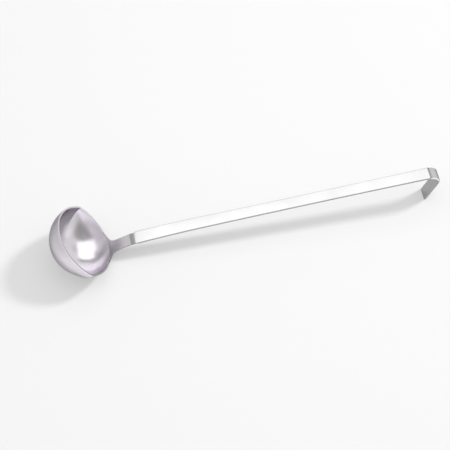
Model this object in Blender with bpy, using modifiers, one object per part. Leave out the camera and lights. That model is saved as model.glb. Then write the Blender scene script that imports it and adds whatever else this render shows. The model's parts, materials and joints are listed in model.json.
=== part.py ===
"""A double-spout sauce ladle in polished stainless steel, lying on its back as it rests on a worktop.

Three pieces: the pressed bowl with its neck, the flat bar handle with its hanging hook, and the dressed weld
between them. Everything is modelled in the ladle's own frame: the rim's centre is the origin, +X runs along
the handle to the hook and +Z is the way the handle's front face looks. The last step leans that frame until
the bowl's back and the hook's tip stand on one surface, with the ladle's middle over the world's origin.
"""

import math

import bmesh
import bpy
import numpy as np
from mathutils import Matrix, Vector

# Driving dimensions, in metres and degrees

RIM_RADIUS = 0.036
BOWL_DEPTH = 0.0342
SHEET = 0.0015
SPOUT_REACH = 0.0038
SPOUT_AZIMUTH = 86.0
SPOUT_SPREAD = 80.0
SPOUT_SHARPNESS = 3.4
SPOUT_FOOT = 50.0
HANDLE_LEAN = 36.6
HANDLE_DROP = 0.0135
HANDLE_START = 0.051
HANDLE_STRAIGHT = 0.302
HANDLE_DIP = 0.0026
HANDLE_DIP_LENGTH = 0.070
HANDLE_THICKNESS = 0.0024
HANDLE_WIDTH_AT_NECK = 0.0137
HANDLE_WIDTH_AT_WAIST = 0.0120
HANDLE_WIDTH_AT_HOOK = 0.0130
HANDLE_EDGE_ROUND = 0.0007
HOOK_INNER_RADIUS = 0.0090
HOOK_BEND = 111.0
HOOK_RETURN = 0.0310
NECK_WIDTH = 0.0119
NECK_ROOT_ANGLE = 31.0
NECK_SHOULDER = 0.0060
NECK_LEAVING_ANGLE = 18.0
NECK_SWEEP = 0.008
RIM_EDGE_ROUND = 0.0004
WELD_LENGTH = 0.0022
SEAM_GAP = 0.0003

# How finely the round shapes are divided

BOWL_AROUND = 64
BOWL_DOWN = 14
NECK_COLUMNS = 6
NECK_STATIONS = 14
DIP_STATIONS = 8
STRAIGHT_STATIONS = 9
BEND_STATIONS = 16
RETURN_STATIONS = 3
CORNER_POINTS = 4

# The neck's outline: the power of its long taper, and the share of its length that its fillet takes

TAPER_POWER = 8
FILLET_SHARE = 0.20

# Directions in the ladle's frame: the bowl's opening, and from the rim's centre to the neck

LEAN = math.radians(HANDLE_LEAN)
OPENING = Vector((math.cos(LEAN), 0.0, math.sin(LEAN)))
TO_NECK = Vector((math.sin(LEAN), 0.0, -math.cos(LEAN)))
SIDEWAYS = Vector((0.0, 1.0, 0.0))

# The bar sinks towards the neck: it starts HANDLE_DIP low, and climbs from there at DIP_SLOPE

DIP_SLOPE = math.atan(2 * HANDLE_DIP / HANDLE_DIP_LENGTH)
ALONG = Vector((math.cos(DIP_SLOPE), 0.0, math.sin(DIP_SLOPE)))
FRONT = Vector((-math.sin(DIP_SLOPE), 0.0, math.cos(DIP_SLOPE)))

# The bar's middle plane, its start, and the weld and the neck's end that follow back from there

HANDLE_MIDDLE = -HANDLE_DROP - HANDLE_THICKNESS / 2
BAR_START = Vector((HANDLE_START, 0.0, HANDLE_MIDDLE - HANDLE_DIP))
BAR_BACK = BAR_START - HANDLE_THICKNESS / 2 * FRONT
WELD_END = -SEAM_GAP
WELD_START = WELD_END - WELD_LENGTH
NECK_END = WELD_START - SEAM_GAP


def clear_scene():
    for obj in list(bpy.data.objects):
        bpy.data.objects.remove(obj, do_unlink=True)


def steel(name, colour, roughness):
    """A bare stainless steel finish."""
    material = bpy.data.materials.new(name)
    material.use_nodes = True
    shader = material.node_tree.nodes["Principled BSDF"]
    shader.inputs["Base Color"].default_value = (*colour, 1.0)
    shader.inputs["Metallic"].default_value = 1.0
    shader.inputs["Roughness"].default_value = roughness
    material.diffuse_color = (*colour, 1.0)
    return material


def add_piece(name, mesh, material, collection, root):
    """Puts a mesh in the scene as a named piece of the ladle, shaded smooth but for its sharp edges."""
    mesh.name = name
    mesh.materials.append(material)
    mesh.shade_smooth()
    mesh.set_sharp_from_angle(angle=math.radians(35))
    piece = bpy.data.objects.new(name, mesh)
    collection.objects.link(piece)
    piece.parent = root
    return piece


def smooth(share):
    """A smoothstep from 0 to 1, level at both ends."""
    share = min(1.0, max(0.0, share))
    return share * share * (3.0 - 2.0 * share)


def spout_bulge(azimuth, down):
    """How far a point of the bowl is pushed out, as a share of SPOUT_REACH.

    It peaks in a crease at each spout's azimuth, fades to both sides over SPOUT_SPREAD, and fades down the
    wall from the rim (down = 90 degrees) to the spout's foot.
    """
    aside = abs(abs(azimuth) - math.radians(SPOUT_AZIMUTH)) / math.radians(SPOUT_SPREAD)
    across = max(0.0, 1.0 - aside) ** SPOUT_SHARPNESS
    foot = math.radians(SPOUT_FOOT)
    return across * smooth((down - foot) / (math.pi / 2 - foot))


def neck_guides():
    """The four guide points of the neck's back line, a cubic curve from the rim to the neck's end.

    It leaves the rim at NECK_LEAVING_ANGLE to the handle, arrives along the bar's own slope with its back
    flush with the bar's, and runs on for NECK_SWEEP in both directions before it turns.
    """
    leaving = math.radians(NECK_LEAVING_ANGLE)
    start = RIM_RADIUS * TO_NECK
    end = BAR_BACK + NECK_END * ALONG
    outward = Vector((math.cos(leaving), 0.0, math.sin(leaving)))
    return start, start + NECK_SWEEP * outward, end - NECK_SWEEP * ALONG, end


def neck_point(share, aside):
    """A point of the neck's back: a share of the way along its curve, and aside from its middle line.

    Across, the neck keeps the rim's own curve where it leaves the bowl, turns square to its middle line over
    the fillet, and flattens towards the handle.
    """
    left = 1.0 - share
    start, after, before, end = neck_guides()
    inner = 3.0 * left * share * (left * after + share * before)
    point = left**3 * start + inner + share**3 * end
    turning = left**2 * (after - start) + 2.0 * left * share * (before - after) + share**2 * (end - before)
    square = smooth(share / FILLET_SHARE)
    front = square * turning.cross(SIDEWAYS).normalized() - (1.0 - square) * TO_NECK
    hollow = RIM_RADIUS - math.sqrt(RIM_RADIUS**2 - aside**2)
    return point + aside * SIDEWAYS + hollow * (1.0 - smooth(share)) * front


def neck_half_width(share):
    """Half the neck's width: a long taper to NECK_WIDTH, and a quarter ellipse that leaves along the rim."""
    root = RIM_RADIUS * math.sin(math.radians(NECK_ROOT_ANGLE))
    fillet = root - NECK_WIDTH / 2 - NECK_SHOULDER
    taper = NECK_SHOULDER * (1.0 - share) ** TAPER_POWER
    to_go = max(0.0, 1.0 - share / FILLET_SHARE)
    return NECK_WIDTH / 2 + taper + fillet * (1.0 - math.sqrt(1.0 - to_go**2))


def bowl_surface(bm):
    """The bowl's outer skin: half a sphere, flattened to its depth, with two spouts pushed out."""
    bmesh.ops.create_uvsphere(bm, u_segments=BOWL_AROUND, v_segments=2 * BOWL_DOWN, radius=1.0)
    upper = [vert for vert in bm.verts if vert.co.z > 1e-4]
    bmesh.ops.delete(bm, geom=upper, context="VERTS")
    # The sphere's even columns are spread so that one meets each side of the neck, and one each spout.
    columns = (0.0, math.tau * NECK_COLUMNS / BOWL_AROUND, math.pi / 2, math.pi)
    places = (0.0, math.radians(NECK_ROOT_ANGLE), math.radians(SPOUT_AZIMUTH), math.pi)
    for vert in bm.verts:
        even = math.atan2(vert.co.y, vert.co.x)
        azimuth = math.copysign(float(np.interp(abs(even), columns, places)), even)
        level = math.hypot(vert.co.x, vert.co.y)
        down = math.asin(min(1.0, level))
        reach = RIM_RADIUS * level + SPOUT_REACH * spout_bulge(azimuth, down)
        across = reach * (math.cos(azimuth) * TO_NECK + math.sin(azimuth) * SIDEWAYS)
        vert.co = across + BOWL_DEPTH * vert.co.z * OPENING


def extend_neck(bm):
    """Draws the rim's edges on the handle's side out into the neck, one row at a time."""
    root = math.radians(NECK_ROOT_ANGLE)
    row = []
    for vert in bm.verts:
        on_rim = abs(vert.co.dot(OPENING)) < 1e-6
        azimuth = math.atan2(vert.co.dot(SIDEWAYS), vert.co.dot(TO_NECK))
        if on_rim and abs(azimuth) < root + 1e-4:
            row.append(vert)
    row.sort(key=lambda vert: vert.co.y)
    shares = [vert.co.y / row[-1].co.y for vert in row]
    for station in range(1, NECK_STATIONS + 1):
        along = (station / NECK_STATIONS) ** 2
        edges = [bm.edges.get(pair) for pair in zip(row, row[1:])]
        made = bmesh.ops.extrude_edge_only(bm, edges=edges)["geom"]
        fresh = {item for item in made if isinstance(item, bmesh.types.BMVert)}
        row = [next(e.other_vert(v) for e in v.link_edges if e.other_vert(v) in fresh) for v in row]
        for vert, share in zip(row, shares):
            vert.co = neck_point(along, share * neck_half_width(along))


def make_bowl(material, collection, root):
    """The bowl and its neck, one pressing: an open skin that Solidify turns into sheet metal."""
    bm = bmesh.new()
    bowl_surface(bm)
    extend_neck(bm)
    bmesh.ops.recalc_face_normals(bm, faces=bm.faces[:])
    lowest = min(bm.faces, key=lambda face: face.calc_center_median().dot(OPENING))
    if lowest.normal.dot(OPENING) > 0.0:
        bmesh.ops.reverse_faces(bm, faces=bm.faces[:])
    mesh = bpy.data.meshes.new("bowl")
    bm.to_mesh(mesh)
    bm.free()
    bowl = add_piece("bowl", mesh, material, collection, root)
    wall = bowl.modifiers.new("sheet", "SOLIDIFY")
    wall.thickness = SHEET
    wall.offset = -1.0
    wall.use_even_offset = True
    edge = bowl.modifiers.new("rim_edge", "BEVEL")
    edge.width = RIM_EDGE_ROUND
    edge.segments = 1
    edge.limit_method = "ANGLE"
    edge.angle_limit = math.radians(60)
    return bowl


def handle_path():
    """The bar's middle line, as (along the handle, up from its middle): straight, round the hook and back."""
    dip_runs = [HANDLE_DIP_LENGTH * step / DIP_STATIONS for step in range(DIP_STATIONS)]
    level = HANDLE_STRAIGHT - HANDLE_DIP_LENGTH
    level_runs = [HANDLE_DIP_LENGTH + level * step / STRAIGHT_STATIONS for step in range(STRAIGHT_STATIONS)]
    points = [(HANDLE_START + run, -HANDLE_DIP * (1.0 - run / HANDLE_DIP_LENGTH) ** 2) for run in dip_runs]
    points += [(HANDLE_START + run, 0.0) for run in level_runs]
    corner = HANDLE_START + HANDLE_STRAIGHT
    radius = HOOK_INNER_RADIUS + HANDLE_THICKNESS / 2
    bend = math.radians(HOOK_BEND)
    for step in range(BEND_STATIONS + 1):
        turned = bend * step / BEND_STATIONS
        points.append((corner + radius * math.sin(turned), radius * (math.cos(turned) - 1.0)))
    x, z = points[-1]
    for step in range(1, RETURN_STATIONS + 1):
        run = HOOK_RETURN * step / RETURN_STATIONS
        points.append((x + run * math.cos(bend), z - run * math.sin(bend)))
    return points


def bar_section():
    """The bar's section, a rounded rectangle: its thickness along x and its width along y."""
    inner_x = HANDLE_THICKNESS / 2 - HANDLE_EDGE_ROUND
    inner_y = HANDLE_WIDTH_AT_NECK / 2 - HANDLE_EDGE_ROUND
    points = []
    for quarter, (side_x, side_y) in enumerate(((1, 1), (-1, 1), (-1, -1), (1, -1))):
        for step in range(CORNER_POINTS):
            angle = math.pi / 2 * (quarter + step / (CORNER_POINTS - 1))
            x = side_x * inner_x + HANDLE_EDGE_ROUND * math.cos(angle)
            y = side_y * inner_y + HANDLE_EDGE_ROUND * math.sin(angle)
            points.append((x, y))
    return points


def flat_curve(name, points, closed):
    curve = bpy.data.curves.new(name, "CURVE")
    curve.dimensions = "2D"
    curve.fill_mode = "NONE"
    spline = curve.splines.new("POLY")
    spline.points.add(len(points) - 1)
    for point, (x, y) in zip(spline.points, points):
        point.co = (x, y, 0.0, 1.0)
    spline.use_cyclic_u = closed
    return bpy.data.objects.new(name, curve)


def handle_width(x):
    """The bar's width: a parabola through its widths at the neck, half way and at the hook."""
    share = min(1.0, max(0.0, (x - HANDLE_START) / HANDLE_STRAIGHT))
    neck = HANDLE_WIDTH_AT_NECK * (1.0 - share) * (1.0 - 2.0 * share)
    waist = HANDLE_WIDTH_AT_WAIST * 4.0 * share * (1.0 - share)
    hook = HANDLE_WIDTH_AT_HOOK * share * (2.0 * share - 1.0)
    return neck + waist + hook


def make_handle(material, collection, root):
    """The handle: a section carried along the bar's middle line, then drawn in to its waist."""
    section = flat_curve("bar_section", bar_section(), True)
    path = flat_curve("bar_path", handle_path(), False)
    for guide in (section, path):
        collection.objects.link(guide)
    path.data.dimensions = "3D"
    path.data.twist_mode = "Z_UP"
    path.data.bevel_mode = "OBJECT"
    path.data.bevel_object = section
    path.data.use_fill_caps = True
    graph = bpy.context.evaluated_depsgraph_get()
    mesh = bpy.data.meshes.new_from_object(path.evaluated_get(graph))
    for guide in (path, section):
        bpy.data.objects.remove(guide, do_unlink=True)
    bm = bmesh.new()
    bm.from_mesh(mesh)
    bmesh.ops.remove_doubles(bm, verts=bm.verts[:], dist=1e-5)
    stand_up = Matrix.Rotation(math.pi / 2, 4, "X")
    bmesh.ops.transform(bm, matrix=stand_up, verts=bm.verts[:])
    for vert in bm.verts:
        vert.co.y *= handle_width(vert.co.x) / HANDLE_WIDTH_AT_NECK
        vert.co.z += HANDLE_MIDDLE
    bmesh.ops.recalc_face_normals(bm, faces=bm.faces[:])
    bm.to_mesh(mesh)
    bm.free()
    return add_piece("handle", mesh, material, collection, root)


def make_weld(material, collection, root):
    """The dressed butt weld, a short block that grows from the neck's section to the handle's."""
    bm = bmesh.new()
    bmesh.ops.create_cube(bm, size=1.0)
    for vert in bm.verts:
        at_neck = vert.co.x < 0.0
        width = NECK_WIDTH if at_neck else HANDLE_WIDTH_AT_NECK
        thickness = SHEET if at_neck else HANDLE_THICKNESS
        along = WELD_START if at_neck else WELD_END
        raised = (vert.co.z + 0.5) * thickness
        vert.co = BAR_BACK + along * ALONG + vert.co.y * width * SIDEWAYS + raised * FRONT
    mesh = bpy.data.meshes.new("neck_weld")
    bm.to_mesh(mesh)
    bm.free()
    weld = add_piece("neck_weld", mesh, material, collection, root)
    edge = weld.modifiers.new("dressed_edges", "BEVEL")
    edge.width = SEAM_GAP
    edge.segments = 2
    return weld


def corners_of(piece):
    """Every vertex of a finished piece, in the ladle's frame."""
    graph = bpy.context.evaluated_depsgraph_get()
    evaluated = piece.evaluated_get(graph)
    mesh = evaluated.to_mesh()
    points = np.empty(len(mesh.vertices) * 3, np.float32)
    mesh.vertices.foreach_get("co", points)
    evaluated.to_mesh_clear()
    return points.reshape(-1, 3).astype(np.float64)


def lowest(points, angle):
    return float((points[:, 0] * math.sin(angle) + points[:, 2] * math.cos(angle)).min())


def lay_down(bowl, handle, root):
    """Leans the ladle until the bowl and the hook's tip reach one level, and stands it on z = 0."""
    bpy.context.view_layer.update()
    bowl_points = corners_of(bowl)
    handle_points = corners_of(handle)
    least, most = 0.0, math.radians(30)
    for _ in range(50):
        angle = (least + most) / 2
        if lowest(handle_points, angle) < lowest(bowl_points, angle):
            least = angle
        else:
            most = angle
    points = np.concatenate([bowl_points, handle_points])
    along = points[:, 0] * math.cos(angle) - points[:, 2] * math.sin(angle)
    root.rotation_euler = (0.0, -angle, 0.0)
    root.location = (-(along.min() + along.max()) / 2, 0.0, -lowest(points, angle))
    print("lying angle", round(math.degrees(angle), 2), "degrees")


def main():
    clear_scene()
    collection = bpy.data.collections.new("sauce_ladle")
    bpy.context.scene.collection.children.link(collection)
    root = bpy.data.objects.new("ladle_frame", None)
    collection.objects.link(root)
    bowl = make_bowl(steel("bowl_steel", (0.62, 0.60, 0.62), 0.22), collection, root)
    handle = make_handle(steel("handle_steel", (0.72, 0.71, 0.71), 0.16), collection, root)
    make_weld(steel("weld_steel", (0.55, 0.54, 0.55), 0.3), collection, root)
    lay_down(bowl, handle, root)


main()
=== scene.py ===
# %% [markdown]
# # A double-spout sauce ladle
#
# The real ladle is three pieces of stainless steel: a bowl pressed from sheet with its neck drawn
# out of the rim, a flat bar bent into a hanging hook, and the ground weld between them. The packed
# CAD model already has the right sizes, so this lesson draws the same three surfaces again, much
# finer, and gives them real steel.
#
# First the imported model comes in. Its box is kept, because the finished ladle has to fit in it.

import json
import math

import bpy
import numpy as np
from mathutils import Matrix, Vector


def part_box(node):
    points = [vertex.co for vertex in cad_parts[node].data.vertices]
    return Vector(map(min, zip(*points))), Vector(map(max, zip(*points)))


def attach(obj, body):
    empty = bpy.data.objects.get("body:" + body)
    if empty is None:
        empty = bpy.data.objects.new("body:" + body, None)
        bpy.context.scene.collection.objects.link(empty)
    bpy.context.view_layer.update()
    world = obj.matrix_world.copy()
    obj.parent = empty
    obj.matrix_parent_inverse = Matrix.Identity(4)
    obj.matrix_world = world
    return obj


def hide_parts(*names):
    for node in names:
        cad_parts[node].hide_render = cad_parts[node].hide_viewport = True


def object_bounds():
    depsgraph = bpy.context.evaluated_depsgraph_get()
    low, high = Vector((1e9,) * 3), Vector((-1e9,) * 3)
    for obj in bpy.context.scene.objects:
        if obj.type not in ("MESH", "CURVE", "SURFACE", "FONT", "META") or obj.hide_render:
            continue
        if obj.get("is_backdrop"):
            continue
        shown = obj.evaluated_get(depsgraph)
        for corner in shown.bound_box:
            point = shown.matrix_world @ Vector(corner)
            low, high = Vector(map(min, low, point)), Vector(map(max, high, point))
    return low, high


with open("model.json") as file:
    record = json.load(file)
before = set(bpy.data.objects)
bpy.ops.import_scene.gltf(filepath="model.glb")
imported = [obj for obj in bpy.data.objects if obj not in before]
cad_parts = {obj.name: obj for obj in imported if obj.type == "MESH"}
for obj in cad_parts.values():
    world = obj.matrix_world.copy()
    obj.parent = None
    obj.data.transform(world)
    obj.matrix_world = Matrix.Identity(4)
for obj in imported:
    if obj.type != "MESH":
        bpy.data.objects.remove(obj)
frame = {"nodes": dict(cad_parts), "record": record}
cad_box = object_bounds()
record = frame["record"]
print("CAD nodes:", sorted(frame["nodes"]))

# %% [markdown]
# ## The ladle's own directions
#
# It is easiest to draw a ladle as a maker would, square to its handle: +X along the bar towards
# the hook, +Z the way the bar's front looks, and the middle of the rim as the origin. The bowl
# leans in this frame: its opening looks part of the way towards the hook. The finished pieces are
# then laid down as the CAD model lies, on the bowl's back and the hook's tip. The angle comes from
# the record, where the handle's front face states the direction that it looks in.

# %% Directions
LADLE_LEAN = math.radians(36.6)
OPENING = np.array([math.cos(LADLE_LEAN), 0.0, math.sin(LADLE_LEAN)])
TO_NECK = np.array([math.sin(LADLE_LEAN), 0.0, -math.cos(LADLE_LEAN)])
SIDEWAYS = np.array([0.0, 1.0, 0.0])

front_face = next(mount for mount in record["mounts"] if mount["name"] == "handle_front")
LYING = math.atan2(-front_face["axis"][0], front_face["axis"][2])
print("the bar lies", round(math.degrees(LYING), 2), "degrees from level")


def turned(points):
    """Turns points by the lying angle, about Y: the bar's own x and z become the CAD model's."""
    x, y, z = np.moveaxis(points, -1, 0)
    cos, sin = math.cos(LYING), math.sin(LYING)
    return np.stack([x * cos - z * sin, y, x * sin + z * cos], axis=-1)


# %% [markdown]
# ## The bowl's skin
#
# A pressed bowl is close to half a ball. It could be sculpted from a sphere, but a formula makes
# both spouts alike and keeps their creases where they belong. A point of it has two parameters:
# how far round it is from the neck (azimuth), and how far up the wall from the bottom (down is 0
# at the bottom and 90 degrees at the rim). The spouts are pushed out of that half ball. Each has a
# sharp crease in its middle, so its bulge is a power of the distance to the crease, which leaves a
# corner there, times a smooth rise up the wall.

# %% The bowl's surface
RIM_RADIUS = 0.036
BOWL_DEPTH = 0.0342
SPOUT_REACH = 0.0038
SPOUT_AZIMUTH = math.radians(86.0)
SPOUT_SPREAD = math.radians(80.0)
SPOUT_SHARPNESS = 3.4
SPOUT_FOOT = math.radians(50.0)
AT_RIM = math.pi / 2


def smooth(share):
    """Smoothstep: 3 s^2 - 2 s^3, with the share held between 0 and 1."""
    share = np.clip(share, 0.0, 1.0)
    return share * share * (3.0 - 2.0 * share)


def spout_bulge(azimuth, down):
    """(1 - distance to the crease / spread)^sharpness, times a smoothstep from foot to rim."""
    aside = np.abs(np.abs(azimuth) - SPOUT_AZIMUTH) / SPOUT_SPREAD
    peak = np.clip(1.0 - aside, 0.0, None) ** SPOUT_SHARPNESS
    return peak * smooth((down - SPOUT_FOOT) / (AT_RIM - SPOUT_FOOT))


def bowl_skin(azimuth, down):
    """Half a ball with spouts.

    Away from the bowl's axis: radius times sin(down), plus the spouts' bulge. Along the axis:
    depth times -cos(down).
    """
    reach = RIM_RADIUS * np.sin(down) + SPOUT_REACH * spout_bulge(azimuth, down)
    across = np.cos(azimuth)[..., None] * TO_NECK + np.sin(azimuth)[..., None] * SIDEWAYS
    return reach[..., None] * across - (BOWL_DEPTH * np.cos(down))[..., None] * OPENING


spout_tip = bowl_skin(SPOUT_AZIMUTH, AT_RIM)
print("from one spout to the other:", round(2000 * float(spout_tip[1]), 1), "mm")

# %% [markdown]
# ## The neck
#
# The neck is drawn out of the rim in the same pressing. Towards the bowl the bar sinks a little,
# so the neck meets it on a slight slope. The neck's back line is a cubic curve: it leaves the rim
# flatter than the wall climbs, which shows as a bend there, and arrives along the bar's own slope
# with its back flush with the bar's. Across, it starts with the rim's own curve and flattens out.
# Its outline is a high power of what is left of its length, which tapers it, plus a quarter of an
# ellipse, which leaves along the rim and so fillets the corner. A separate strip set against the
# bowl would be easier, and would show a seam that the real one lacks.

# %% The bar's and the neck's measures
SHEET = 0.0015
HANDLE_DROP = 0.0135             # from the rim's middle down to the bar's front
HANDLE_START = 0.051             # from the rim's middle along to the bar's near end
HANDLE_DIP = 0.0026              # how far the bar sinks towards the neck,
HANDLE_DIP_LENGTH = 0.070        # and over what length
HANDLE_THICKNESS = 0.0024
WELD_LENGTH = 0.0022
SEAM_GAP = 0.0003                # the CAD model's gap on both sides of the weld
NECK_WIDTH = 0.0119
NECK_ROOT = math.radians(31.0)   # half of the rim's arc that the neck grows out of
NECK_SHOULDER = 0.0060           # what the taper adds to the half width at the root
NECK_LEAVING_ANGLE = math.radians(18.0)
NECK_SWEEP = 0.008               # from the back line's ends to its guide points
TAPER_POWER = 8
FILLET_SHARE = 0.20              # how much of the neck's length the fillet takes

DIP_SLOPE = math.atan(2 * HANDLE_DIP / HANDLE_DIP_LENGTH)
ALONG = np.array([math.cos(DIP_SLOPE), 0.0, math.sin(DIP_SLOPE)])
FRONT = np.array([-math.sin(DIP_SLOPE), 0.0, math.cos(DIP_SLOPE)])
HANDLE_MIDDLE = -HANDLE_DROP - HANDLE_THICKNESS / 2
BAR_START = np.array([HANDLE_START, 0.0, HANDLE_MIDDLE - HANDLE_DIP])
BAR_BACK = BAR_START - HANDLE_THICKNESS / 2 * FRONT
WELD_REACH = WELD_LENGTH + 2 * SEAM_GAP

neck_start = RIM_RADIUS * TO_NECK
neck_end = BAR_BACK - WELD_REACH * ALONG
outward = np.array([math.cos(NECK_LEAVING_ANGLE), 0.0, math.sin(NECK_LEAVING_ANGLE)])
neck_after = neck_start + NECK_SWEEP * outward
neck_before = neck_end - NECK_SWEEP * ALONG
neck_span = np.linalg.norm(neck_end - neck_start)
print("the neck spans", round(float(neck_span) * 1000, 1), "mm")

# %% The neck's surface
# How far the rim falls back from its point at the neck's middle, by the distance aside.
RIM_SAMPLES = 641
rim_turns = np.linspace(0.0, NECK_ROOT, RIM_SAMPLES)
rim_line = bowl_skin(rim_turns, np.full_like(rim_turns, AT_RIM))
rim_aside = rim_line @ SIDEWAYS
rim_fall = RIM_RADIUS - rim_line @ TO_NECK


def neck_half_width(share):
    """Half the neck's width: constant, plus an 8th power taper, plus a quarter of an ellipse."""
    fillet = rim_aside[-1] - NECK_WIDTH / 2 - NECK_SHOULDER
    to_go = np.clip(1.0 - share / FILLET_SHARE, 0.0, 1.0)
    taper = NECK_SHOULDER * (1.0 - share) ** TAPER_POWER
    return NECK_WIDTH / 2 + taper + fillet * (1.0 - np.sqrt(1.0 - to_go**2))


def neck_back(share, aside):
    """The cubic curve of its four guide points, and across it the rim's fall.

    The fall's plane turns square to the curve over the fillet, and the fall itself goes flat by a
    smoothstep.
    """
    s, left = share[..., None], 1.0 - share[..., None]
    guided = left * neck_after + s * neck_before
    line = left**3 * neck_start + 3 * left * s * guided + s**3 * neck_end
    first, second = neck_after - neck_start, neck_before - neck_after
    third = neck_end - neck_before
    turning = left**2 * first + 2 * left * s * second + s**2 * third
    front = np.cross(turning, SIDEWAYS)
    front /= np.linalg.norm(front, axis=-1, keepdims=True)
    square = smooth(s / FILLET_SHARE)
    front = square * front - (1.0 - square) * TO_NECK
    hollow = np.interp(np.abs(aside), rim_aside, rim_fall) * (1.0 - smooth(share))
    return line + aside[..., None] * SIDEWAYS + hollow[..., None] * front


print("beside the neck the rim falls back by", round(float(rim_fall[-1]) * 1000, 1), "mm")

# %% [markdown]
# ## From a grid of points to a mesh
#
# Every surface here is a grid, rows by columns, whose faces join each point to its neighbours. The
# bowl's grid closes round on itself and ends in one point at the bottom, and the neck's grid
# starts on the rim's own points, so bowl and neck are one skin with no seam between them, as in
# the pressing.

# %% Grids
SHARP_ANGLE = math.radians(35.0)


def numbered(grid, first=0):
    """The numbers of a grid's points in the mesh, row by row, counted on from the first."""
    rows, columns = grid.shape[:2]
    return first + np.arange(rows * columns).reshape(rows, columns)


def grid_faces(index, closed=False):
    """Four-cornered faces between the neighbours in an array of point numbers."""
    beside = np.roll(index, -1, axis=1)
    columns = slice(None) if closed else slice(None, -1)
    corners = [index[:-1], beside[:-1], beside[1:], index[1:]]
    return np.stack([corner[:, columns] for corner in corners], axis=-1).reshape(-1, 4)


def tube_faces(grid):
    """The faces of a tube whose rows are closed sections, and one face over each of its ends."""
    index = numbered(grid)
    sides = grid_faces(index, closed=True)[:, ::-1].tolist()
    return sides + [index[0].tolist(), index[-1, ::-1].tolist()]


def add_object(name, data):
    """Adds an object with the given data to the scene, at the origin."""
    made = bpy.data.objects.new(name, data)
    bpy.context.scene.collection.objects.link(made)
    return made


def new_piece(name, points, faces):
    """Makes a finished mesh object from ladle-frame points, laid down as the CAD model lies."""
    mesh = bpy.data.meshes.new(name)
    mesh.from_pydata((turned(points) + RIM_CENTRE).tolist(), [], faces)
    mesh.shade_smooth()
    mesh.set_sharp_from_angle(angle=SHARP_ANGLE)
    piece = add_object(name, mesh)
    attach(piece, "root")
    return piece


# %% The bowl and neck as one skin
PER_NECK, PER_FLANK, PER_FRONT = 20, 48, 64
WALL_ROWS, NECK_ROWS = 60, 64
ROOT_CROWDING = 1.5              # the neck's rows lie closer towards its root by this power
CLOSE = 1e-9

turns = np.concatenate([
    np.linspace(0.0, NECK_ROOT, PER_NECK, endpoint=False),
    np.linspace(NECK_ROOT, SPOUT_AZIMUTH, PER_FLANK, endpoint=False),
    np.linspace(SPOUT_AZIMUTH, math.pi, PER_FRONT + 1),
])
azimuths = np.concatenate([-turns[-2:0:-1], turns])
downs = np.linspace(0.0, AT_RIM, WALL_ROWS + 1)[1:]
wall = bowl_skin(*np.meshgrid(azimuths, downs))

RIM_CENTRE = np.array(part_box("bowl")[0]) - turned(wall).min(axis=(0, 1))
RIM_CENTRE[1] = 0.0
print("the rim's middle is at", np.round(RIM_CENTRE * 1000, 2), "mm")

root_columns = np.flatnonzero(np.abs(azimuths) < NECK_ROOT + CLOSE)
shares = wall[-1, root_columns, 1] / wall[-1, root_columns[-1], 1]
alongs = (np.arange(1, NECK_ROWS + 1) / NECK_ROWS)[:, None] ** ROOT_CROWDING
asides = shares * neck_half_width(alongs)
neck = neck_back(np.broadcast_to(alongs, asides.shape), asides)

# Point 0 is the bottom, which a fan of triangles joins to the lowest row. Then come the wall's and
# the neck's.
wall_index = numbered(wall, 1)
neck_index = np.concatenate([wall_index[-1:, root_columns], numbered(neck, 1 + wall_index.size)])
fan = np.stack([np.zeros_like(wall_index[0]), np.roll(wall_index[0], -1), wall_index[0]], axis=-1)
bottom = -BOWL_DEPTH * OPENING[None]
skin_points = np.concatenate([bottom, wall.reshape(-1, 3), neck.reshape(-1, 3)])
skin_faces = fan.tolist() + grid_faces(wall_index, closed=True).tolist()
skin_faces += grid_faces(neck_index).tolist()
bowl = new_piece("pressed_bowl", skin_points, skin_faces)
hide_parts("bowl")
print("bowl skin:", len(skin_points), "points")

# The neck leaves the wall at an angle, so the edges between them are sharp and each side keeps its
# own shading.
ends = np.empty(2 * len(bowl.data.edges), np.int32)
bowl.data.edges.foreach_get("vertices", ends)
folded = np.isin(ends, wall_index[-1, root_columns]).reshape(-1, 2).all(axis=1)
bowl.data.attributes["sharp_edge"].data.foreach_set("value", folded)

# %% [markdown]
# The colour of a pressing isn't the same everywhere, and it follows the shape, so the points
# themselves carry where it changes: how dark the neck is, and where the lip has a painted
# highlight. The neck is darker in part all along, and more in the fold at its root, where this is
# painted shade. It is fully dark at its thin end by the weld. The lip is brighter on both sides, a
# painted highlight in a band that ends at the neck.

# %% Where the bowl's neck is darker, with painted shade in its fold, and where the lip has its painted highlight
ALONG_NECK_DARKER, FOLD_PAINTED_SHADE = 0.46, 0.38
DARK_END_REACH, DARK_END_EDGE = 0.0042, 0.0012
LIP_HIGHLIGHT_BAND = 0.06                  # radians of the wall below the rim


def store_on_points(piece, label, values):
    """Stores one number for each point of the mesh, under a label that its material can read."""
    values = np.ascontiguousarray(values, dtype=np.float32).ravel()
    piece.data.attributes.new(label, "FLOAT", "POINT").data.foreach_set("value", values)


# Painted shade in the fold at the neck's root, on top of a neck that is darker all along. The
# neck's thin end by the weld is darker too.
darker_along_neck_and_fold_shade = ALONG_NECK_DARKER + FOLD_PAINTED_SHADE * (1.0 - smooth(alongs / FILLET_SHARE))
darker_end = 1.0 - smooth(((1.0 - alongs) * neck_span - DARK_END_REACH) / DARK_END_EDGE)
darker_neck_and_fold_shade = np.zeros(len(skin_points))
darker_neck_and_fold_shade[1 + wall_index.size:] = np.repeat(np.maximum(darker_along_neck_and_fold_shade, darker_end), neck.shape[1])
store_on_points(bowl, "darker_neck_and_fold_shade", darker_neck_and_fold_shade)

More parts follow.
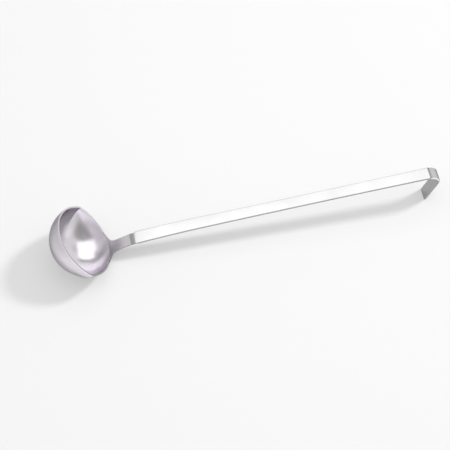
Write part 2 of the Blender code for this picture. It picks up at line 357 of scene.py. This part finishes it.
# A painted highlight in a band along the lip, on both sides of the sheet.
lip_highlight = smooth((downs[:, None] - AT_RIM + LIP_HIGHLIGHT_BAND) / LIP_HIGHLIGHT_BAND) * (np.abs(azimuths) > NECK_ROOT)
painted_lip_highlight = np.zeros(len(skin_points))
painted_lip_highlight[wall_index.ravel()] = lip_highlight.ravel()
store_on_points(bowl, "lip_highlight", painted_lip_highlight)
print("dulled points:", int((darker_neck_and_fold_shade > 0).sum()), "lip points:", int((painted_lip_highlight > 0).sum()))

# %% [markdown]
# The skin is the outside of the sheet. Solidify gives it the sheet's thickness inwards, and a
# small bevel rounds the cut edge. Its two material offsets give the inside and the cut edge
# colours of their own. The inside's lighter colour is partly a brighter polish and partly painted
# light. The edge is flat and so shows one even grey all round, as a thin line that is lighter or
# darker than what is beside it.

# %% Sheet metal
CUT_EDGE_ROUND, CUT_EDGE_STEPS = 0.00045, 4
CUT_EDGE_ANGLE = math.radians(60)
OUTSIDE, INSIDE, CUT_EDGE = 0, 1, 2   # the bowl's material slots

sheet = bowl.modifiers.new("sheet", "SOLIDIFY")
sheet.thickness = SHEET
sheet.offset = -1.0
sheet.use_even_offset = True
sheet.material_offset = INSIDE - OUTSIDE
sheet.material_offset_rim = CUT_EDGE - OUTSIDE
rim_edge = bowl.modifiers.new("rim_edge", "BEVEL")
rim_edge.width = CUT_EDGE_ROUND
rim_edge.segments = CUT_EDGE_STEPS
rim_edge.limit_method = "ANGLE"
rim_edge.angle_limit = CUT_EDGE_ANGLE
rim_edge.harden_normals = False
print("the sheet is", round(sheet.thickness * 1000, 2), "mm thick")

# %% [markdown]
# ## The bar handle and its hook
#
# The handle is a profile carried along a path: a rounded rectangle, along a straight run, round
# the hook's bend and back. A curve object with a bevel could do this, but the bar is a little
# narrower half way, which a parabola through three widths gives, and its section changes in the
# bend, so the sections are worked out here.

# %% The bar's section
HANDLE_STRAIGHT = 0.302
WIDTH_AT_NECK, WIDTH_AT_WAIST, WIDTH_AT_HOOK = 0.0137, 0.0120, 0.0130
EDGE_ROUND = 0.0007
PER_CORNER = 8
CORNER_SIGNS = ((1, 1), (-1, 1), (-1, -1), (1, -1))

quarter = np.linspace(0.0, math.pi / 2, PER_CORNER)
corner_turns = [quarter + math.pi / 2 * corner for corner in range(4)]
section_turns = np.concatenate(corner_turns)


def rounded_section(half_thick, half_wide, radius):
    """Points round a rectangle whose corners are quarter circles, from the front to the back."""
    corners = [
        np.stack([
            thick_sign * (half_thick - radius) + radius * np.cos(turn),
            wide_sign * (half_wide - radius) + radius * np.sin(turn),
        ], axis=-1)
        for turn, (thick_sign, wide_sign) in zip(corner_turns, CORNER_SIGNS)
    ]
    return np.concatenate(corners)


def bar_width(x):
    """The parabola through the widths at the neck, half way and at the hook."""
    share = np.clip((x - HANDLE_START) / HANDLE_STRAIGHT, 0.0, 1.0)
    neck_part = WIDTH_AT_NECK * (1.0 - share) * (1.0 - 2.0 * share)
    waist_part = WIDTH_AT_WAIST * 4.0 * share * (1.0 - share)
    return neck_part + waist_part + WIDTH_AT_HOOK * share * (2.0 * share - 1.0)


print("the bar's section has", len(section_turns), "points")

# %% The bar's path
HOOK_INNER_RADIUS = 0.0090
HOOK_BEND = math.radians(111.0)
HOOK_RETURN = 0.0310
TIP_ROUND = 0.0004
HOOK_RADIUS = HOOK_INNER_RADIUS + HANDLE_THICKNESS / 2
STRAIGHT_STATIONS, BEND_STATIONS, BACK_STATIONS, TIP_STATIONS = 160, 64, 23, 5


def bar_path():
    """Middle line as x, z and angle turned: a parabola out of the dip, level, an arc, a line."""
    corner = HANDLE_START + HANDLE_STRAIGHT
    straight = np.linspace(HANDLE_START, corner, STRAIGHT_STATIONS, endpoint=False)
    rise = np.clip(1.0 - (straight - HANDLE_START) / HANDLE_DIP_LENGTH, 0.0, None)
    bend = np.linspace(0.0, HOOK_BEND, BEND_STATIONS)
    back = np.linspace(0.0, HOOK_RETURN - TIP_ROUND, BACK_STATIONS + 1)[1:]
    x = np.concatenate([straight, corner + HOOK_RADIUS * np.sin(bend)])
    z = np.concatenate([-HANDLE_DIP * rise**2, HOOK_RADIUS * (np.cos(bend) - 1.0)])
    x = np.concatenate([x, x[-1] + back * math.cos(HOOK_BEND)])
    z = np.concatenate([z, z[-1] - back * math.sin(HOOK_BEND)])
    climb = -np.arctan(2.0 * HANDLE_DIP * rise / HANDLE_DIP_LENGTH)
    turn = np.concatenate([climb, bend, np.full_like(back, HOOK_BEND)])
    return x, z, turn


path_x, path_z, path_turn = bar_path()

# The tip's cut edge is a quarter circle too: the section draws in while the path goes on.
curl = np.linspace(0.0, math.pi / 2, TIP_STATIONS + 1)[1:]
path_x = np.concatenate([path_x, path_x[-1] + TIP_ROUND * np.sin(curl) * math.cos(HOOK_BEND)])
path_z = np.concatenate([path_z, path_z[-1] - TIP_ROUND * np.sin(curl) * math.sin(HOOK_BEND)])
path_turn = np.concatenate([path_turn, np.full_like(curl, HOOK_BEND)])
draw_in = np.concatenate([np.zeros(len(path_x) - len(curl)), TIP_ROUND * (1.0 - np.cos(curl))])
print("the bar's path has", len(path_x), "stations")

# %% [markdown]
# Where a bar is bent cold, its stretched outside draws in and its squeezed inside bulges out, by
# about half of the strain, which is the distance from the middle line over the bend's radius.

# %% The handle
DRAW_IN_PER_STRAIN = 0.5
STRAIN_RISE = 6.0                # full strain after a sixth of the bend
STRAIN_FADE = 0.004              # and none any more this far along the return

section = rounded_section(HANDLE_THICKNESS / 2, WIDTH_AT_NECK / 2, EDGE_ROUND)
bend_end = STRAIGHT_STATIONS + BEND_STATIONS - 1
bend_share = np.clip(path_turn / HOOK_BEND, 0.0, 1.0)
return_run = np.hypot(path_x - path_x[bend_end], path_z - path_z[bend_end])
return_run = return_run * (path_turn >= HOOK_BEND)
strained = smooth(bend_share * STRAIN_RISE) * (1.0 - smooth(return_run / STRAIN_FADE))
squeeze = DRAW_IN_PER_STRAIN * strained[:, None] * section[None, :, 0] / HOOK_RADIUS

widen = (bar_width(path_x) / WIDTH_AT_NECK)[:, None]
tip_thick = 1.0 - draw_in[:, None] / (HANDLE_THICKNESS / 2)
tip_wide = 1.0 - draw_in[:, None] / (WIDTH_AT_NECK / 2)
thick = section[None, :, 0] * tip_thick
wide = section[None, :, 1] * widen * (1.0 - squeeze) * tip_wide
bar_points = np.stack([
    path_x[:, None] + thick * np.sin(path_turn)[:, None],
    wide,
    HANDLE_MIDDLE + path_z[:, None] + thick * np.cos(path_turn)[:, None],
], axis=-1)
handle = new_piece("bar_handle", bar_points.reshape(-1, 3), tube_faces(bar_points))
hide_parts("handle")
print("handle:", len(bar_points), "sections of", len(section), "points")

# %% [markdown]
# Two values on every point tell the colour two things. The first is where the sides and back are
# darker: partly the duller unpolished skin, and partly painted shade. The second is where the bend
# has painted shade: along the line where the bend starts, and over its outer half. The steel
# between them has a painted highlight, and so have the bend's sides.

# %% Where the bar has painted shade and painted highlights
FRONT_ENDS, FRONT_EDGE = 0.75, 0.5     # by the cosine of the turn away from the front
SIDES_START, SIDES_EDGE = 0.75, 0.2    # by its sine
# By the share of the bend: where each place starts, over what it sets in, where it ends, and over
# what.
SHADE_LINE = (0.0, 0.02, 0.07, 0.05)
HIGHLIGHT_STRIP = (0.12, 0.06, 0.28, 0.08)
BEND_SIDES_HIGHLIGHT = (0.0, 0.10, 0.70, 0.10)
OUTER_HALF_START, OUTER_HALF_EDGE = 0.40, 0.15
LINE_SHADE, STRIP_HIGHLIGHT, SIDES_HIGHLIGHT = 0.75, 0.20, 0.9


def skin_and_painted_shade(section_turn):
    """0 on the front, and by a smoothstep of the normal's turn 1 on the sides and the back."""
    return smooth((FRONT_ENDS - np.cos(section_turn)) / FRONT_EDGE)


def bend_place(start, rise, end, fall):
    """1 in one place of the bend and 0 elsewhere: a smoothstep up, times 1 less a smoothstep."""
    return smooth((bend_share - start) / rise) * (1.0 - smooth((bend_share - end) / fall))


# The sides and the back are darker: partly the duller unpolished skin, partly painted shade. On
# the bend's sides that gives way to a painted highlight.
sides = smooth((np.abs(np.sin(section_turns)) - SIDES_START) / SIDES_EDGE)[None]
bend_sides_highlight = sides * bend_place(*BEND_SIDES_HIGHLIGHT)[:, None]
store_on_points(handle, "skin_and_painted_shade", skin_and_painted_shade(section_turns)[None] * (1.0 - bend_sides_highlight))

# Painted shade along the line where the bend starts and over its outer half. There is a painted
# highlight on the strip between them and on the bend's sides.
outer_half_shade = smooth((bend_share - OUTER_HALF_START) / OUTER_HALF_EDGE) * strained
bend_shade_and_highlight = LINE_SHADE * bend_place(*SHADE_LINE) - STRIP_HIGHLIGHT * bend_place(*HIGHLIGHT_STRIP)
bend_shade_and_highlight = bend_shade_and_highlight + outer_half_shade
on_front = np.cos(section_turns).clip(0.0)[None]
store_on_points(handle, "bend_painted_light", bend_shade_and_highlight[:, None] * on_front - SIDES_HIGHLIGHT * bend_sides_highlight)
print("the bend's shine changes on", int((np.abs(bend_shade_and_highlight) > 0).sum()), "sections")

# %% [markdown]
# ## The weld
#
# The neck is thinner and narrower than the bar. On the real ladle the weld between them is ground
# and polished until only a short step shows, so it is a profile too, that grows from the neck's
# section to the bar's. It reaches from the one to the other, and so covers the thin gap that the
# CAD model keeps on both sides. Its front comes up to the bar's at once, and from there on is as
# bright as the bar, and its sides open out evenly.

# %% The weld
WELD_ROWS = 32
WELD_RISE = 0.15                 # the share of its length over which the front comes up
WELD_START_ROUND = 0.0004

reach = np.linspace(0.0, 1.0, WELD_ROWS + 1)[:, None]
small = rounded_section(SHEET / 2, NECK_WIDTH / 2, WELD_START_ROUND) + [SHEET / 2, 0.0]
large = section + [HANDLE_THICKNESS / 2, 0.0]
growth = np.stack([smooth(reach / WELD_RISE), smooth(reach)], axis=-1)
grown = small[None] + (large - small)[None] * growth
weld_points = neck_end + (WELD_REACH * reach[..., None]) * ALONG
weld_points = weld_points + grown[..., 1:] * SIDEWAYS + grown[..., :1] * FRONT
weld = new_piece("ground_weld", weld_points.reshape(-1, 3), tube_faces(weld_points))
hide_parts("neck_weld")
print("weld:", round(WELD_REACH * 1000, 2), "mm from the neck to the bar")

# %% [markdown]
# ## Steel
#
# Bare steel has no colour of its own: a metal shader takes it from what it reflects. What makes it
# read as stainless is the finish. Polishing leaves very fine marks that run one way, round the
# bowl and along the bar, and over them lie softer clouds where the wheel pressed more or less.
# Photographs of steel could show both, but they would have to be fitted to every surface. Noise
# along a direction fits them all, and stays sharp close up.

# %% Node helpers
WHITE = (1.0, 1.0, 1.0, 1.0)


def connect(tree, target, inputs):
    """Gives each input of a node, by name or number, a plain value or another node's output."""
    for key, value in inputs.items():
        if isinstance(value, bpy.types.NodeSocket):
            tree.links.new(value, target.inputs[key])
        else:
            target.inputs[key].default_value = value


def node(tree, kind, inputs, **settings):
    """Adds a node, sets its own properties, and then its inputs."""
    made = tree.nodes.new(kind)
    for name, value in settings.items():
        setattr(made, name, value)
    connect(tree, made, inputs)
    return made


def math_node(tree, operation, *values):
    """The result of one step of arithmetic on numbers or other nodes' outputs."""
    return node(tree, "ShaderNodeMath", dict(enumerate(values)), operation=operation).outputs[0]


def times(tree, colour, factor):
    """A colour times a factor."""
    scaled = node(tree, "ShaderNodeVectorMath", {0: colour, "Scale": factor}, operation="SCALE")
    return scaled.outputs["Vector"]


def ranged(tree, value, start, end, low, high, **settings):
    """A number that goes evenly from low to high while the value goes from start to end."""
    limits = {"Value": value, "From Min": start, "From Max": end, "To Min": low, "To Max": high}
    return node(tree, "ShaderNodeMapRange", limits, **settings).outputs["Result"]


def coordinates(tree, kind):
    """One of the outputs of a Texture Coordinate node."""
    return node(tree, "ShaderNodeTexCoord", {}).outputs[kind]


def new_material(name):
    """A material made of nodes, with its tree and its shader."""
    material = bpy.data.materials.new(name)
    material.use_nodes = True
    return material, material.node_tree, material.node_tree.nodes["Principled BSDF"]


# %% Marks along a direction
# Round the bowl per metre and down its wall per radian, then along, across and through the bar.
ROUND_SLOW, ROUND_QUICK = 60.0, 170.0
BAR_SLOW, BAR_ACROSS, BAR_DEEP = 40.0, 3000.0, 300.0


def own_frame(tree, centre, lean):
    """Object coordinates seen from a centre and turned by an angle about Y, as x, y and z."""
    mapping = node(tree, "ShaderNodeMapping", {
        "Vector": coordinates(tree, "Object"), "Location": centre, "Rotation": (0.0, lean, 0.0),
    }, vector_type="TEXTURE")
    return node(tree, "ShaderNodeSeparateXYZ", {"Vector": mapping.outputs["Vector"]}).outputs


def noise_place(tree, *scaled):
    """A place in the noise, whose three parts are each a value times a scale."""
    parts = [math_node(tree, "MULTIPLY", value, scale) for value, scale in scaled]
    return node(tree, "ShaderNodeCombineXYZ", dict(enumerate(parts))).outputs["Vector"]


def round_marks(tree):
    """Rings round the bowl's axis: noise that changes quickly down the wall, slowly round it."""
    x, y, z = own_frame(tree, tuple(RIM_CENTRE), -LYING - LADLE_LEAN + math.pi / 2)
    squares = [math_node(tree, "MULTIPLY", value, value) for value in (x, y)]
    off_axis = math_node(tree, "SQRT", math_node(tree, "ADD", *squares))
    down = math_node(tree, "ARCTAN2", off_axis, math_node(tree, "MULTIPLY", z, -1.0))
    return noise_place(tree, (x, ROUND_SLOW), (y, ROUND_SLOW), (down, ROUND_QUICK))


def long_marks(tree):
    """Lines along the bar: noise that changes quickly across it and slowly along it."""
    x, y, z = own_frame(tree, tuple(RIM_CENTRE), -LYING)
    return noise_place(tree, (x, BAR_SLOW), (y, BAR_ACROSS), (z, BAR_DEEP))


# %% [markdown]
# No piece is equally bright all over, and part of that is painted light. The bar's front is
# polished by a wheel that runs along it, while its sheared sides and its back are darker: partly
# the duller skin of the rolled sheet and partly painted shade. Its bend has the painted shade and
# painted highlights of the cell above. The bowl's outside has painted light, brighter on the near
# side and darker on the far side. Its inside is brighter towards the near right, and its lip has a
# painted highlight. Its neck is darker all along, with painted shade in the fold at its root, and
# darker still at its thin end by the weld. They could be painted by hand. The values that the
# points carry, or the place itself, say it exactly.

# %% Where the finish and the painted light change
# For each value on the points: how much of the colour it adds or takes away, and how much
# roughness it adds.
# The bar's darker sides and back are partly painted shade, and the bend's places are painted shade
# and highlights. The bowl's neck fold has painted shade, and its lip a painted highlight.
BAR_EFFECTS = (("skin_and_painted_shade", -0.28, 0.14), ("bend_painted_light", -0.55, 0.06))
BOWL_EFFECTS = (("darker_neck_and_fold_shade", -0.60, 0.10), ("lip_highlight", 0.14, -0.04))


def by_value(tree, shader, colour, rough, effects):
    """For each value on the points: colour x (1 + tone x value), roughness + roughen x value."""
    for label, tone, roughen in effects:
        value = node(tree, "ShaderNodeAttribute", {}, attribute_name=label).outputs["Fac"]
        colour = times(tree, colour, math_node(tree, "MULTIPLY_ADD", value, tone, 1.0))
        rough = math_node(tree, "ADD", rough, math_node(tree, "MULTIPLY", value, roughen))
    connect(tree, shader, {"Base Color": colour, "Roughness": rough})


def bar_skin_and_painted_light(tree, shader, colour, rough):
    """Darker sides and back, partly painted shade, and the bend's painted shade and highlights."""
    by_value(tree, shader, colour, rough, BAR_EFFECTS)


def painted_light_towards(direction, start, end, low, high):
    """The darker neck with painted shade in its fold, the lip's painted highlight, and painted
    light: a factor from low to high along a direction.
    """
    def wear_and_painted_light(tree, shader, colour, rough):
        pair = {0: coordinates(tree, "Object"), 1: direction}
        along = node(tree, "ShaderNodeVectorMath", pair, operation="DOT_PRODUCT").outputs["Value"]
        painted_light = ranged(tree, along, start, end, low, high)
        by_value(tree, shader, times(tree, colour, painted_light), rough, BOWL_EFFECTS)
    return wear_and_painted_light


# %% One recipe for all the steel
GRAZING_TINT = (0.55, 0.54, 0.56, 1.0)         # what is left of the colour at a flat angle
INSIDE_GRAZING_TINT = (0.88, 0.86, 0.89, 1.0)
MARK_DETAIL, CLOUD_DETAIL = 3.0, 2.0
CLOUD_NOISE, CLOUD_TONE = (0.3, 0.7), (0.94, 1.06)
MARK_ROUGHNESS = 0.16                          # how much the marks vary the roughness


def steel(name, colour, roughness, pattern, marks, clouds, wear_and_painted_light=None, grazing=GRAZING_TINT):
    """Metal with marks in its bump and its roughness, and clouds in its colour and roughness."""
    material, tree, shader = new_material(name)
    grain = node(tree, "ShaderNodeTexNoise", {
        "Vector": pattern(tree), "Scale": 1.0, "Detail": MARK_DETAIL,
    }).outputs["Fac"]
    cloud = node(tree, "ShaderNodeTexNoise", {
        "Vector": coordinates(tree, "Object"), "Scale": clouds, "Detail": CLOUD_DETAIL,
    }).outputs["Fac"]
    tone = ranged(tree, cloud, *CLOUD_NOISE, *CLOUD_TONE)
    shade = times(tree, colour, tone)
    smoothest = roughness - MARK_ROUGHNESS / 2
    rough = math_node(tree, "MULTIPLY_ADD", grain, MARK_ROUGHNESS, smoothest)
    rough = math_node(tree, "MULTIPLY", rough, tone)
    bump = node(tree, "ShaderNodeBump", {"Strength": 1.0, "Distance": marks, "Height": grain})
    connect(tree, shader, {
        "Metallic": 1.0, "Specular Tint": grazing, "Base Color": shade, "Roughness": rough,
        "Normal": bump.outputs["Normal"]})
    if wear_and_painted_light is not None:
        wear_and_painted_light(tree, shader, shade, rough)
    return material


# %% The finishes
BOWL_MARKS, BOWL_CLOUDS = 0.000012, 45.0       # the marks' depth in metres, and clouds per metre
BAR_MARKS, BAR_CLOUDS, WELD_CLOUDS = 0.00001, 30.0, 300.0
BAR_COLOUR = (0.60, 0.595, 0.60)
TO_NEAR_SIDE = (0.0, -1.0, 0.0)
TO_NEAR_RIGHT = (0.5, -1.0, 0.0)

# Painted light and shade. The outside is darker on the far side and brighter on the near side, the
# inside is brighter towards the near right, and the cut edge is darker on the near side.
outside_painted_light = painted_light_towards(TO_NEAR_SIDE, start=-0.012, end=0.030, low=0.66, high=1.28)
inside_painted_light = painted_light_towards(TO_NEAR_RIGHT, start=-0.1165, end=-0.0525, low=0.97, high=1.22)
edge_painted_shade = painted_light_towards(TO_NEAR_SIDE, start=0.0, end=0.030, low=1.00, high=0.72)
bowl_finish = dict(pattern=round_marks, marks=BOWL_MARKS, clouds=BOWL_CLOUDS)
bar_finish = dict(pattern=long_marks, marks=BAR_MARKS)
outside_steel = steel(
    "bowl_steel_outside", (0.62, 0.59, 0.63), roughness=0.24, wear_and_painted_light=outside_painted_light, **bowl_finish)
# The inside's colour is lighter than the outside's: partly a brighter polish, partly painted
# light.
inside_steel = steel(
    "bowl_steel_inside", (0.72, 0.69, 0.73), roughness=0.24, wear_and_painted_light=inside_painted_light,
    grazing=INSIDE_GRAZING_TINT, **bowl_finish)
edge_steel = steel(
    "bowl_steel_edge", (0.56, 0.54, 0.56), roughness=0.35, wear_and_painted_light=edge_painted_shade, **bowl_finish)
bar_steel = steel(
    "bar_steel_polished", BAR_COLOUR, roughness=0.20, wear_and_painted_light=bar_skin_and_painted_light, clouds=BAR_CLOUDS,
    **bar_finish)
weld_steel = steel(
    "weld_steel_ground", BAR_COLOUR, roughness=0.24, clouds=WELD_CLOUDS, **bar_finish)
bowl_steels = (outside_steel, inside_steel, edge_steel)
for piece, materials in ((bowl, bowl_steels), (handle, (bar_steel,)), (weld, (weld_steel,))):
    for material in materials:
        piece.data.materials.append(material)
    print(piece.name, "wears", [material.name for material in materials])

# %% [markdown]
# ## The studio
#
# Steel looks like the room that it stands in, so the room is half of its finish. A picture of a
# real room could light it. A few plain lamps are easier to understand, and look right from every
# side. The ladle lies on a white table. A large softbox above and beyond it is what the flat bar
# mirrors along its whole length and what the bowl shows as its bright spot, and a smaller one to
# the left and a faint one to the right brighten what is beside that. One more lamp, high on the
# right and not mirrored in the steel, throws the soft shadow.

# %% The table
TABLE_HALF = 4.0
TABLE_GREY, TABLE_GLOW = 0.42, 0.325
TABLE_ROUGHNESS, TABLE_GLOSS = 0.9, 0.1

corners = TABLE_HALF * np.array([(-1, -1, 0), (1, -1, 0), (1, 1, 0), (-1, 1, 0)])
table_mesh = bpy.data.meshes.new("table")
table_mesh.from_pydata(corners.tolist(), [], [(0, 1, 2, 3)])
table = add_object("table", table_mesh)
table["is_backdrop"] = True

# The table glows a little for the camera and for the steel that mirrors it, but throws no light on
# the ladle.
table_paint, table_tree, table_shader = new_material("table_white")
rays = node(table_tree, "ShaderNodeLightPath", {}).outputs
seen = math_node(table_tree, "ADD", rays["Is Camera Ray"], rays["Is Glossy Ray"])
seen = math_node(table_tree, "ADD", seen, rays["Is Transmission Ray"])
glow = math_node(table_tree, "MULTIPLY", seen, TABLE_GLOW)
connect(table_tree, table_shader, {
    "Base Color": (TABLE_GREY, TABLE_GREY, TABLE_GREY, 1.0), "Roughness": TABLE_ROUGHNESS,
    "Specular IOR Level": TABLE_GLOSS, "Emission Color": WHITE, "Emission Strength": glow})
table.data.materials.append(table_paint)
print("the table is", 2 * TABLE_HALF, "m wide")


# %% The lamps
def set_facing(thing, place, right, above, back):
    """Puts a lamp or camera at a place. The columns of its matrix are its own directions."""
    axes = np.stack([right, above, back], axis=1)
    thing.matrix_world = Matrix.Translation(place) @ Matrix(axes.tolist()).to_4x4()


def softbox(name, place, aim, wide, deep, brightness):
    """A rectangular lamp of a given brightness: watts are brightness times pi times its area."""
    lamp = bpy.data.lights.new(name, "AREA")
    lamp.shape = "RECTANGLE"
    lamp.size, lamp.size_y = wide, deep
    lamp.energy = brightness * math.pi * wide * deep
    rig = add_object(name, lamp)
    back = np.subtract(place, aim)
    back /= np.linalg.norm(back)
    side = np.cross(SIDEWAYS, back)
    side /= np.linalg.norm(side)
    set_facing(rig, place, side, np.cross(back, side), back)
    print(name, "gives", round(lamp.energy, 2), "W")
    return rig


softbox(
    "softbox_above", place=(0.035, 0.19, 1.0), aim=(0.035, 0.19, 0.0),
    wide=0.93, deep=1.22, brightness=0.80)
softbox(
    "softbox_left", place=(-0.72, -0.05, 1.0), aim=(-0.72, -0.05, 0.0),
    wide=0.50, deep=0.70, brightness=0.62)
softbox(
    "softbox_right", place=(1.11, -0.98, 0.29), aim=(-0.15, 0.0, 0.03),
    wide=0.55, deep=0.75, brightness=0.22)
shadow_lamp = softbox(
    "shadow_lamp", place=(2.97, 0.63, 3.04), aim=(0.0, 0.0, 0.0),
    wide=0.60, deep=0.60, brightness=118.0)
shadow_lamp.visible_glossy = False

# %% [markdown]
# The rest is a quiet light grey room. A photographer holds dark cards where polished metal should
# mirror something darker, because steel without any looks like white plastic. Four of them dim
# this room in soft edged patches: on the near side for the dark patch above the bowl's bright
# spot, on the left for the dark end of the neck, on the right for the far wall of the bowl, and a
# level strip beyond the ladle for the dark line below the bright spot and the one along the bar's
# edge. Real cards could stand there as objects, but they would show in other views and throw
# shadows.

# %% The grey room and its dark cards
ROOM_BRIGHTNESS = 0.90

world = bpy.data.worlds.new("grey_room")
bpy.context.scene.world = world
world.use_nodes = True
room = world.node_tree
direction = coordinates(room, "Generated")


def towards(axis):
    """The cosine of the angle between a direction of the room and an axis."""
    pair = {0: direction, 1: np.array(axis) / np.linalg.norm(axis)}
    return node(room, "ShaderNodeVectorMath", pair, operation="DOT_PRODUCT").outputs["Value"]


def between(value, start, end, low, high):
    """A smoothstep from low to high while the value goes from start to end."""
    return ranged(room, value, start, end, low, high, interpolation_type="SMOOTHSTEP")


def dark_card(middle, inner, outer, level):
    """Dims the room to a level up to an inner angle from a direction, not past an outer one."""
    inner, outer = math.cos(math.radians(inner)), math.cos(math.radians(outer))
    return between(towards(middle), outer, inner, 1.0, level)


def dark_strip(middle, thin, long, level):
    """Dims a level strip of the room, by the angles above and below its middle and sideways."""
    middle = np.array(middle) / np.linalg.norm(middle)
    beside = np.cross(middle, [0.0, 0.0, 1.0])
    masks = []
    for axis, (inner, outer) in ((np.cross(beside, middle), thin), (beside, long)):
        inner, outer = math.sin(math.radians(inner)), math.sin(math.radians(outer))
        masks.append(between(math_node(room, "ABSOLUTE", towards(axis)), inner, outer, 1.0, 0.0))
    return math_node(room, "MULTIPLY_ADD", math_node(room, "MULTIPLY", *masks), level - 1.0, 1.0)


cards = [
    dark_card(middle=(0.0, -0.8, 0.6), inner=26.0, outer=42.0, level=0.45),
    dark_card(middle=(-0.54, 0.55, 1.0), inner=3.0, outer=10.0, level=0.30),
    dark_strip(middle=(0.08, 0.73, 0.66), thin=(2.0, 7.0), long=(18.0, 34.0), level=0.25),
    dark_card(middle=(0.614, 0.043, 0.788), inner=5.0, outer=20.0, level=0.65),
]
left_over = cards[0]
for card in cards[1:]:
    left_over = math_node(room, "MULTIPLY", left_over, card)
connect(room, room.nodes["Background"], {
    "Color": WHITE, "Strength": math_node(room, "MULTIPLY", left_over, ROOM_BRIGHTNESS)})
print("the room has", len(cards), "dark cards")

# %% [markdown]
# ## The camera
#
# It looks down on the ladle from the bowl's side, 62 degrees above the table, through a long lens.
# Its place is worked out from the direction that it looks in, its distance, and the point that it
# aims at, which is given from the middle of the rim, because the bowl is the easiest part to find
# in a picture.

# %% The camera
VIEW_AZIMUTH, VIEW_ELEVATION, VIEW_ROLL = map(math.radians, (-13.4, 62.0, 1.4))
VIEW_DISTANCE = 1.288
AIM_RIGHT, AIM_UP = 0.13905, 0.01536
FOCAL_PIXELS, FRAME_PIXELS = 1300.0, 450.0
SENSOR_WIDTH = 36.0

to_camera = np.array([
    math.sin(VIEW_AZIMUTH) * math.cos(VIEW_ELEVATION),
    -math.cos(VIEW_AZIMUTH) * math.cos(VIEW_ELEVATION),
    math.sin(VIEW_ELEVATION),
])
level_right = np.cross(-to_camera, [0.0, 0.0, 1.0])
level_right /= np.linalg.norm(level_right)
level_up = np.cross(level_right, -to_camera)
right = math.cos(VIEW_ROLL) * level_right + math.sin(VIEW_ROLL) * level_up
above = -math.sin(VIEW_ROLL) * level_right + math.cos(VIEW_ROLL) * level_up
eye = RIM_CENTRE + AIM_RIGHT * right + AIM_UP * above + VIEW_DISTANCE * to_camera

lens = bpy.data.cameras.new("camera")
lens.sensor_width = SENSOR_WIDTH
lens.lens = SENSOR_WIDTH * FOCAL_PIXELS / FRAME_PIXELS
camera = add_object("camera", lens)
set_facing(camera, eye, right, above, to_camera)
bpy.context.scene.camera = camera
bpy.context.scene.view_settings.view_transform = "Standard"
print("the camera stands at", np.round(eye, 3), "with a lens of", round(lens.lens, 1), "mm")

# %% [markdown]
# Last, the finished ladle's box is written beside the CAD model's, to see that it stays inside.

# %% Sizes, and the end
visual_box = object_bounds()
for label, box in (("CAD", cad_box), ("visual", visual_box)):
    print(label, "box in mm:", [[round(value * 1000, 2) for value in corner] for corner in box])
